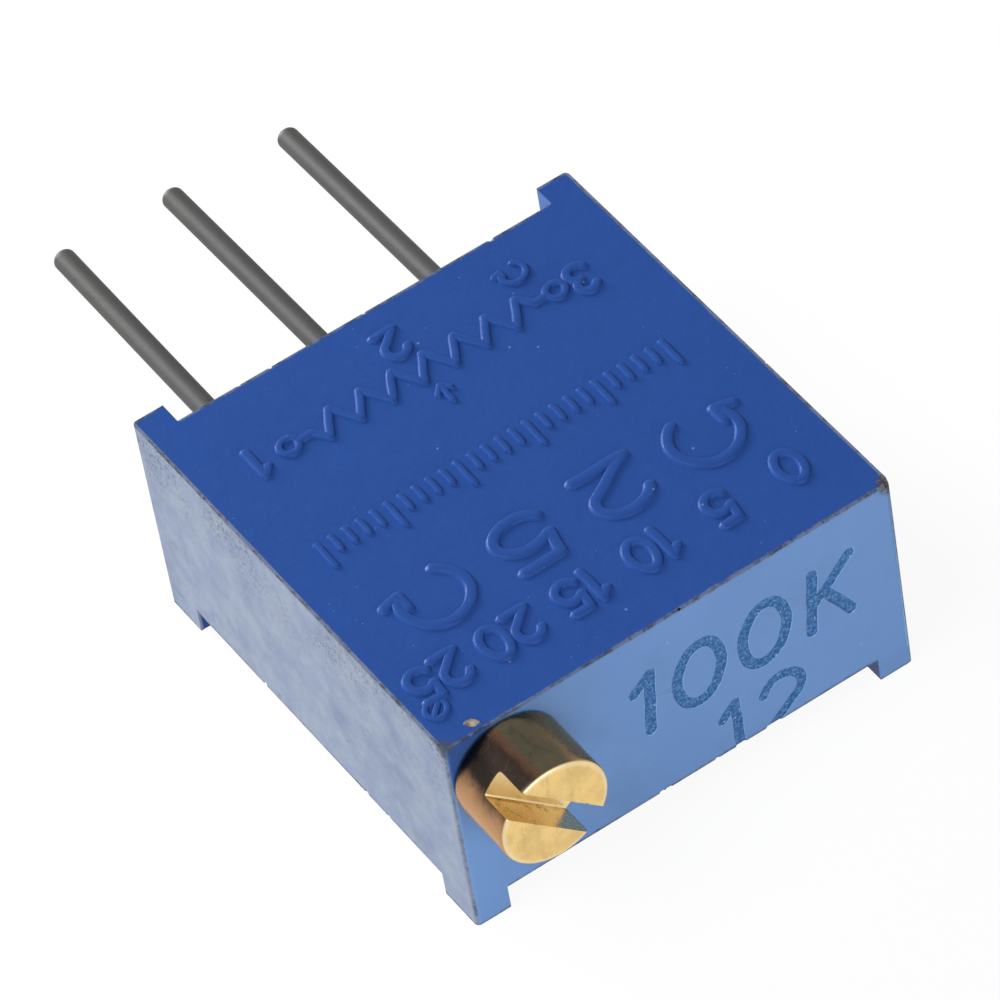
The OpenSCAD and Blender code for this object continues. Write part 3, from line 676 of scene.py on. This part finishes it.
def brass_finish(settings):
    """Turned brass: rings of tool marks, a tarnished side with painted reflections, a bright end face."""
    f = Finish("turned_brass")
    brass = settings.brass
    x, z = f.x - SCREW_X, f.z - SCREW_Z
    radius = f.reach(x, 0.0, z)
    face = (f.y - SCREW_LOW[1]).rise(0.03, 0.008)
    side = radius.rise(HEAD_RADIUS - 0.03, HEAD_RADIUS - 0.005)
    inside = (1 - face) * (1 - side)
    cloud = f.noise(1.4, 4.0, 0.6)
    fine = f.noise(10.0, 4.0, 0.65)

    def facing(right, up, waver):
        """The cosine of the angle between a point of the barrel and a direction, with a wavering edge."""
        return (x * right + z * up) / radius + (cloud - 0.5) * waver

    # The bright end face, with rubs and a paler rim, and the slot
    rubs = f.noise(3.0, 5.0, 0.72, (2.2, 1.0, 0.55)).rise(0.50, 0.66)
    rim = radius.rise(HEAD_RADIUS - 0.14, HEAD_RADIUS - 0.06)
    colour = f.mix(f.noise(1.9, 4.0, 0.65).rise(0.36, 0.64), tone(brass, 0.88), tone(brass, 1.06))
    colour = f.over(colour, (face * f.noise(2.6, 3.0, 0.6).rise(0.52, 0.70) * 0.35, (0.80, 0.52, 0.30)),
                    (face * rubs * 0.5, tone(brass, 0.74)),
                    (face * rim * 0.40, (0.93, 0.78, 0.52)),
                    (inside * 0.6, (0.80, 0.68, 0.46)))

    # The tarnished side: olive with streaks, then painted reflections in bands around the barrel: ruddy,
    # dark, copper low on the left, and brown at the right
    streaks = f.noise(3.6, 4.0, 0.7, (1.0, 0.5, 1.0))
    tarnish_and_reflections = f.mix(fine * 0.4 + cloud * 0.6, (0.060, 0.052, 0.034), (0.108, 0.096, 0.066))
    tarnish_and_reflections = f.over(tarnish_and_reflections, (streaks.rise(0.52, 0.68) * 0.55, (0.155, 0.088, 0.036)),
                    (streaks.rise(0.46, 0.34) * 0.5, (0.044, 0.048, 0.030)),
                    # Painted reflections, each in a band facing one direction around the barrel
                    (facing(-0.34, 0.94, 0.10).rise(0.965, 0.99) * 0.8, (0.105, 0.047, 0.028)),
                    (facing(-0.656, 0.755, 0.16).rise(0.86, 0.93) * 0.93, settings.tarnish_and_dark_reflection),
                    (facing(-0.95, -0.31, 0.5).rise(0.55, 0.9), (0.47, 0.25, 0.130)),
                    (facing(0.866, 0.5, 0.10).rise(0.79, 0.95) * 0.8, (0.40, 0.24, 0.11)))

    # Specks, grime along the edges of the slot, and scratches
    slot_edge = abs(abs(x + z) * math.sqrt(0.5) - settings.slot_width / MM / 2)
    grime = (slot_edge + (fine - 0.5) * 0.10).rise(0.03, 0.0) * f.noise(2.4, 4.0, 0.7).rise(0.54, 0.66)
    scratch = abs(f.noise(1.6, 1.0, 0.4, (1.0, 2.2, 1.4)) - 0.5).rise(0.006, 0.002)
    scratch = scratch * f.noise(2.3, 1.0).rise(0.52, 0.60)
    colour = f.over(colour, (side, tarnish_and_reflections), (f.specks(3.5, 0.035, 0.08) * 0.7, tone(brass, 0.30)),
                    (grime * 0.6, (0.07, 0.045, 0.025)),
                    (scratch * (0.6 - 0.52 * side), tone(brass, 1.15)))

    normal = f.bump(f.ridges(radius, 42.0) * face, 0.0035)
    normal = f.bump(f.ridges(f.y, 24.0) * side, 0.0015, under=normal)
    normal = f.bump(fine * (1 - inside * 0.7), 0.004, under=normal)
    roughness = 0.16 + 0.14 * fine + 0.10 * cloud
    return f.surface(colour, roughness, normal, metallic=1.0, edge_tint=(1.0, 0.90, 0.74))


def pin_finish(settings):
    """Dull grey tin plate with drawing marks along the wire."""
    f = Finish("dull_tin")
    pin = settings.pin
    along = f.noise(7.0, 3.0, 0.6, (3.0, 0.12, 3.0))
    cloud = f.noise(2.5, 3.0, 0.6)
    colour = f.mix(cloud, tone(pin, 0.8), tone(pin, 1.25))
    colour = f.mix(f.specks(3.0, 0.05, 0.2) * 0.5, colour, tone(pin, 0.5))
    normal = f.bump(along, 0.004)
    normal = f.bump(f.noise(16.0, 3.0, 0.6), 0.003, under=normal)
    return f.surface(colour, 0.50 + 0.16 * cloud, normal, metallic=0.35)


def resin_finish():
    """Poured grey epoxy, cloudy, with a few pinholes."""
    f = Finish("potting_resin")
    cloud = f.noise(0.8, 4.0, 0.6)
    colour = f.mix(cloud, (0.34, 0.35, 0.33), (0.46, 0.47, 0.44))
    colour = f.mix(f.specks(1.2, 0.06, 0.2) * 0.6, colour, (0.20, 0.21, 0.20))
    normal = f.bump(f.noise(1.1, 2.0), 0.03)
    normal = f.bump(f.noise(9.0, 3.0), 0.004, under=normal)
    return f.surface(colour, 0.24 + 0.16 * cloud, normal, coat=0.2)


def plain_finish(name, colour, roughness, metallic=0.0, grain=8.0, depth=0.003, stretch=None):
    """A finish for a small inner piece: cloudy colour with a fine grain."""
    f = Finish(name)
    cloud = f.noise(1.5, 3.0, 0.6)
    fine = f.noise(grain, 3.0, 0.6, stretch)
    tint = f.mix(cloud * 0.6 + fine * 0.4, tone(colour, 0.86), tone(colour, 1.1))
    return f.surface(tint, roughness + 0.12 * (fine - 0.5), f.bump(fine, depth), metallic=metallic)


def wear(obj, material):
    """Gives the whole object one material."""
    obj.data.materials.clear()
    obj.data.materials.append(material)


# ---------- pieces ----------

class TRIMMER_OT_case(bpy.types.Operator):
    """Makes the moulded case, with its code sunk in the screw-end wall and its edges rounded"""
    bl_idname = "trimmer.case"
    bl_label = "Case"

    def execute(self, context):
        settings = context.scene.trimmer_case
        case = merged_copy("housing", "case_shell")
        for k, patch in enumerate(end_code_patches(settings.code_depth / MM)):
            combine(case, new_object(f"cutter_{k}", [patch]), "DIFFERENCE")
        bevel(case, settings.edge_round, math.radians(50))
        for k, patch in enumerate(edge_chips()):
            combine(case, new_object(f"chip_{k}", [patch]), "DIFFERENCE")
        tidy_mesh(case.data, math.radians(40))
        flat_normals(case.data, 0.15)
        wear(case, case_finish(settings))
        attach(case, "case")
        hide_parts("housing")
        return {"FINISHED"}


class TRIMMER_OT_front_marks(bpy.types.Operator):
    """Raises the pin numbers, the circuit symbol and the scale of turns on the front wall"""
    bl_idname = "trimmer.front_marks"
    bl_label = "Front marks"

    def execute(self, context):
        settings = context.scene.trimmer_case
        marks = new_object("front_marks", front_marks_patches(settings.mark_height / MM))
        wear(marks, bpy.data.materials["blue_thermoset"])
        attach(marks, "case")
        return {"FINISHED"}


class TRIMMER_OT_screw(bpy.types.Operator):
    """Turns the adjusting screw with its worm, and cuts the driver slot"""
    bl_idname = "trimmer.screw"
    bl_label = "Adjusting screw"

    def execute(self, context):
        settings = context.scene.trimmer_metal
        screw = new_object("slotted_screw", [self.body()], math.radians(30))
        combine(screw, self.slot_cutter(settings), "DIFFERENCE")
        bevel(screw, 0.022 * MM, math.radians(40))
        tidy_mesh(screw.data, math.radians(32))
        flat_normals(screw.data, 0.1)
        wear(screw, brass_finish(settings))
        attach(screw, "screw")
        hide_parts("adjusting_screw")
        return {"FINISHED"}

    def body(self):
        """A profile of radius and y turned about the screw's axis. Along the worm, the radius at an
        angle a follows the distance of y - lead * a / turn from the middle of the nearest thread, as a
        trapezium from root to crest."""
        top, head, wall = SCREW_LOW[1], HEAD_RADIUS, END_Y
        neck, journal, groove, stub = 0.53, 0.735, 0.45, 0.4
        worm_start, worm_end, end = wall + 1.74, wall + 8.05, SCREW_HIGH[1]
        profile = [(0, top), (head * 0.4, top), (head * 0.75, top)]
        profile += [(head - 0.085 * (1 - math.sin(a)), top + 0.075 * (1 - math.cos(a)))
                    for a in np.radians(np.linspace(0, 90, 5))]
        profile += [(head, y) for y in np.linspace(top + 0.2, wall - 0.08, 8)]
        profile += [(head - 0.02, wall - 0.035), (neck, wall - 0.03), (neck, wall + 0.55),
                    (journal, wall + 0.55), (journal, wall + 1.14), (groove, wall + 1.14),
                    (groove, wall + 1.44), (journal, wall + 1.44), (journal, worm_start)]
        profile += [(WORM_ROOT, y) for y in np.linspace(worm_start + 0.001, worm_end - 0.001, 150)]
        profile += [(journal, worm_end), (journal, worm_end + 0.3), (stub, worm_end + 0.3), (stub, end),
                    (0, end)]
        profile, sectors = np.array(profile), 96
        r, y = profile[:, :1], profile[:, 1:]
        angle = np.linspace(0, 2 * np.pi, sectors, endpoint=False)
        phase = ((y - WORM_MIDDLE) / WORM_LEAD + angle / (2 * np.pi) + 0.5) % 1 - 0.5
        flank = np.clip((0.28 - np.abs(phase)) / 0.14, 0, 1)
        threaded = (y > worm_start + 0.0005) & (y < worm_end - 0.0005)
        r = np.where(threaded, WORM_ROOT + (WORM_CREST - WORM_ROOT) * flank, r)
        points = np.stack([SCREW_X + r * np.cos(angle), y + 0 * r, SCREW_Z + r * np.sin(angle)], axis=-1)
        return points, grid_faces(len(profile), sectors, wrap_columns=True)

    def slot_cutter(self, settings):
        """A bar across the head: a profile with its lower corners cut, carried along the slot, and
        drawn in to a point at both ends, which are clear of the head."""
        half, deep = settings.slot_width / MM / 2, settings.slot_depth / MM
        right = [(half, -0.5), (half, deep - 0.05), (half - 0.015, deep - 0.012), (half - 0.05, deep)]
        profile = np.array([(-w, d) for w, d in right[:1]] + right + [(-w, d) for w, d in right[:0:-1]])
        along = np.array([-2.0, -2.0, 2.0, 2.0])
        size = np.array([0.0, 1.0, 1.0, 0.0])
        turn = settings.slot_angle
        middle = np.array([0, deep / 2])
        section = middle + (profile[None] - middle) * size[:, None, None]
        a, w, d = along[:, None] + 0 * section[..., 0], section[..., 0], section[..., 1]
        points = np.stack([SCREW_X + a * math.cos(turn) + w * math.sin(turn), SCREW_LOW[1] + d,
                           SCREW_Z - a * math.sin(turn) + w * math.cos(turn)], axis=-1)
        return new_object("slot_cutter", [(points, grid_faces(4, len(profile), wrap_columns=True))])


class TRIMMER_OT_pins(bpy.types.Operator):
    """Draws the three terminal pins"""
    bl_idname = "trimmer.pins"
    bl_label = "Pins"

    def execute(self, context):
        material = pin_finish(context.scene.trimmer_metal)
        mounts = {m["name"]: m for m in frame["record"]["mounts"]}
        for number, lean in ((1, (-0.04, 0.19)), (2, (-0.15, 0.19)), (3, (-0.10, 0.05))):
            mount, box = mounts[f"pin_{number}"], in_mm(f"terminal_pin_{number}")
            pin = new_object(f"pin_{number}", [self.wire(mount, box, lean)], math.radians(40))
            wear(pin, material)
            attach(pin, "case")
            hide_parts(f"terminal_pin_{number}")
        return {"FINISHED"}

    def wire(self, mount, box, lean):
        """Cross-sections along y: at angle a, x and z are half sizes times the cosine and sine of a,
        each raised to a power that runs from 0.35 (nearly square) to 1 (round). Outside the case the
        middle drifts by lean times the share of the length to the power 1.3."""
        x, y, z = (v / MM for v in mount["pos_m"])
        r, half_length = mount["dims"]["r_mm"], mount["dims"]["length_mm"] / 2
        start, stop = y - half_length, y + half_length
        inner, tip = box[0][1], box[1][1]
        flat_z = box[0][2] + 0.15
        flat, neck = (0.255, 0.145, flat_z, 0.35), (0.18, 0.18, z, 0.5)
        rows = [(inner, 0, 0, flat_z, 0.35), (inner, *flat), (inner + 0.6, *flat), (inner + 0.8, *neck),
                (start - 0.05, *neck), (start, *neck), (start, r, r, z, 1.0)]
        rows += [(v, r, r, z, 1.0) for v in np.linspace(start + 0.1, stop - 0.05, 60)]
        for a in np.radians(np.linspace(0, 90, 9)):
            dome = r * math.cos(a) ** 0.8
            rows.append((stop - 0.03 + (tip - stop + 0.03) * math.sin(a), dome, dome, z, 1.0))
        along, half_x, half_z, middle, power = np.array(rows).T[:, :, None]
        angle = np.linspace(0, 2 * np.pi, 40, endpoint=False)
        c, s = np.cos(angle), np.sin(angle)
        bend = np.clip((along - PIN_FACE_Y) / (tip - PIN_FACE_Y), 0, 1) ** 1.3
        points = np.stack([x + lean[0] * bend + half_x * np.sign(c) * np.abs(c) ** power, along + 0 * c,
                           middle + lean[1] * bend + half_z * np.sign(s) * np.abs(s) ** power], axis=-1)
        return points, grid_faces(*points.shape[:2], wrap_columns=True)


class TRIMMER_OT_potting(bpy.types.Operator):
    """Pours the resin into the back, with its edge drawn up along the walls"""
    bl_idname = "trimmer.potting"
    bl_label = "Potting"

    def execute(self, context):
        fill = merged_copy("potting", "resin_fill")
        combine(fill, new_object("resin_skin", [self.skin()]), "UNION")
        tidy_mesh(fill.data, math.radians(30))
        wear(fill, resin_finish())
        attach(fill, "case")
        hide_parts("potting")
        return {"FINISHED"}

    def skin(self):
        """A sheet whose outer face stands at depth(d) = 0.05 * exp(-d / 0.2) above the resin at a
        distance d from the nearest wall, less a slow waviness; its inner face is flat."""
        low, high = POTTING_LOW, POTTING_HIGH
        end = PIN_FACE_Y - 0.58
        edge = np.array([0, 0.02, 0.05, 0.09, 0.14, 0.2, 0.28, 0.38, 0.5])

        def spaced(a, b):
            return np.concatenate([a + edge, np.linspace(a + 0.8, b - 0.8, 24), b - edge[::-1]])

        x, y = np.meshgrid(spaced(low[0], high[0]), spaced(low[1], end), indexing="ij")
        d = np.minimum(np.minimum(x - low[0], high[0] - x), np.minimum(y - low[1], end - y))
        wave = 0.008 * np.sin(1.1 * x + 0.6) * np.cos(0.9 * y - 0.4)
        z = low[2] - 0.05 * np.exp(-d / 0.2) + wave * np.clip(d, 0, 1)
        outer = np.stack([x, y, z], axis=-1)
        inner = np.stack([x, y, np.full_like(x, low[2] + 0.1)], axis=-1)
        faces = [(sheet, grid_faces(*x.shape)) for sheet in (outer, inner)]
        for index in (np.s_[0, :], np.s_[-1, :], np.s_[:, 0], np.s_[:, -1]):
            wall = np.stack([outer[index], inner[index]])
            faces.append((wall, grid_faces(*wall.shape[:2])))
        return joined(faces)


class TRIMMER_OT_inner_parts(bpy.types.Operator):
    """Gives the sealed inner pieces their finishes"""
    bl_idname = "trimmer.inner_parts"
    bl_label = "Inner parts"

    def execute(self, context):
        solder_joints = [f"solder_joint_{number}" for number in (1, 2, 3)]
        for nodes, *finish in (
                (["o_ring"], "seal_rubber", (0.03, 0.03, 0.03), 0.5),
                (["retaining_clip"], "spring_steel", (0.56, 0.56, 0.57), 0.3, 1.0, 12.0, 0.002,
                 (0.2, 1.0, 3.0)),
                (["worm_wheel"], "acetal", (0.80, 0.78, 0.70), 0.42),
                (["wiper"], "wiper_alloy", (0.82, 0.72, 0.48), 0.22, 1.0, 14.0, 0.002, (0.3, 3.0, 1.0)),
                (["substrate"], "alumina", (0.84, 0.84, 0.80), 0.62, 0.0, 18.0, 0.004),
                (["resistive_track"], "cermet_film", (0.035, 0.03, 0.03), 0.5, 0.0, 16.0, 0.004),
                (["collector_ring", "pad_1", "pad_3"], "silver_film", (0.62, 0.61, 0.56), 0.38, 1.0, 16.0),
                (solder_joints, "solder", (0.62, 0.62, 0.64), 0.24, 1.0, 6.0, 0.006)):
            material = plain_finish(*finish)
            for node in nodes:
                obj = frame["nodes"][node]
                if not obj.material_slots:
                    obj.data.materials.append(material)
                for slot in obj.material_slots:
                    slot.material = material
        return {"FINISHED"}


# ---------- stage ----------

def lamp(name, direction, size, power):
    """A square soft lamp that faces the middle of the part from 0.15 m away in a direction."""
    data = bpy.data.lights.new(name, "AREA")
    data.shape, data.size, data.energy = "SQUARE", size, power
    obj = linked(name, data)
    way = Vector(direction).normalized()
    obj.location = way * 0.15
    obj.rotation_euler = (-way).to_track_quat("-Z", "Y").to_euler()


def floor_finish(colour):
    """A pale floor that looks white in itself and in reflections, and still takes a shadow."""
    f = Finish("pale_floor")
    matt = f.node("ShaderNodeBsdfDiffuse", {}, {"Color": colour}, "BSDF")
    glow = f.node("ShaderNodeEmission", {}, {"Color": (1.0, 1.0, 1.0), "Strength": 1.03}, "Emission")
    f.close(f.node("ShaderNodeMixShader", {}, {0: f.seen() * 0.9, 1: matt, 2: glow}, "Shader"))
    return f.material


def studio_world():
    """A surround that is white to the eye and in reflections. It lights the part from a pale horizon and
    a dim ceiling, dimmer behind the pins than in front of the screw."""
    world = bpy.data.worlds.new("studio")
    bpy.context.scene.world = world
    w = Nodes(world, "ShaderNodeOutputWorld")
    way = w.node("ShaderNodeTexCoord", {}, {}, "Generated")
    split = w.node("ShaderNodeSeparateXYZ", {}, {0: way}, None)
    behind, height = (Wire(w, split.outputs[axis]) for axis in "YZ")
    light = 0.08 + 0.87 * height.rise(0.34, 0.02) * (1 - 0.75 * behind.rise(-0.2, 0.6))
    w.close(w.node("ShaderNodeBackground", {}, {"Color": (1.0, 1.0, 1.0), "Strength": light.most(w.seen())},
                   "Background"))


class TRIMMER_OT_stage(bpy.types.Operator):
    """Sets the floor, the lamps, the surround and the camera"""
    bl_idname = "trimmer.stage"
    bl_label = "Stage"

    def execute(self, context):
        settings = context.scene.trimmer_stage
        side = np.linspace(-600, 600, 9)
        x, y = np.meshgrid(side, side, indexing="ij")
        floor = new_object("floor", [(np.stack([x, y, np.full_like(x, -0.02)], axis=-1), grid_faces(9, 9))])
        if floor.data.polygons[0].normal.z < 0:
            floor.data.flip_normals()
        wear(floor, floor_finish(settings.floor))
        lamp("key_lamp", (-0.30, 0.90, 0.32), 0.06, settings.key_lamp)
        lamp("side_lamp", (-0.6, -0.1, 0.8), 0.10, settings.side_lamp)
        lamp("front_lamp", (0.0, -0.98, 0.2), 0.10, settings.front_lamp)
        studio_world()
        self.camera(context, settings)
        context.scene.view_settings.view_transform = "Standard"
        return {"FINISHED"}

    def camera(self, context, settings):
        data = bpy.data.cameras.new("camera")
        data.lens, data.sensor_width = settings.lens, 36.0
        data.clip_start, data.clip_end = 0.01, 5.0
        camera = linked("camera", data)
        right = Vector((0.81922, -0.56052, -0.12123))
        up = Vector((0.48624, 0.56684, 0.66503))
        back = Vector((-0.30404, -0.60375, 0.73691))
        place = Vector((-43.374, -80.515 + END_Y, 108.143)) * MM
        turn = Matrix((right, up, back)).transposed()
        camera.matrix_world = Matrix.Translation(place) @ turn.to_4x4()
        context.scene.camera = camera


class TRIMMER_PT_panel(bpy.types.Panel):
    """Lists the steps and settings of the trimmer"""
    bl_label = "Trimmer"
    bl_idname = "TRIMMER_PT_panel"
    bl_space_type = "VIEW_3D"
    bl_region_type = "UI"
    bl_category = "Trimmer"

    def draw(self, context):
        for group in SETTINGS:
            box = self.layout.box()
            settings = getattr(context.scene, group)
            for key in settings.__annotations__:
                box.prop(settings, key)
        for operator in OPERATORS:
            self.layout.operator(operator.bl_idname)


SETTINGS = {"trimmer_case": CaseSettings, "trimmer_metal": MetalSettings, "trimmer_stage": StageSettings}
OPERATORS = (TRIMMER_OT_case, TRIMMER_OT_front_marks, TRIMMER_OT_screw, TRIMMER_OT_pins,
             TRIMMER_OT_potting, TRIMMER_OT_inner_parts, TRIMMER_OT_stage)
CLASSES = (*SETTINGS.values(), *OPERATORS, TRIMMER_PT_panel)


def register():
    """Adds the settings, the operators and the panel."""
    for kind in CLASSES:
        bpy.utils.register_class(kind)
    for name, kind in SETTINGS.items():
        setattr(bpy.types.Scene, name, PointerProperty(type=kind))


def unregister():
    """Takes them away again."""
    for name in SETTINGS:
        delattr(bpy.types.Scene, name)
    for kind in reversed(CLASSES):
        bpy.utils.unregister_class(kind)


def main():
    """Builds everything."""
    register()
    bpy.ops.trimmer.case()
    bpy.ops.trimmer.front_marks()
    bpy.ops.trimmer.screw()
    bpy.ops.trimmer.pins()
    bpy.ops.trimmer.potting()
    bpy.ops.trimmer.inner_parts()
    bpy.ops.trimmer.stage()


if __name__ == "__main__":
    main()
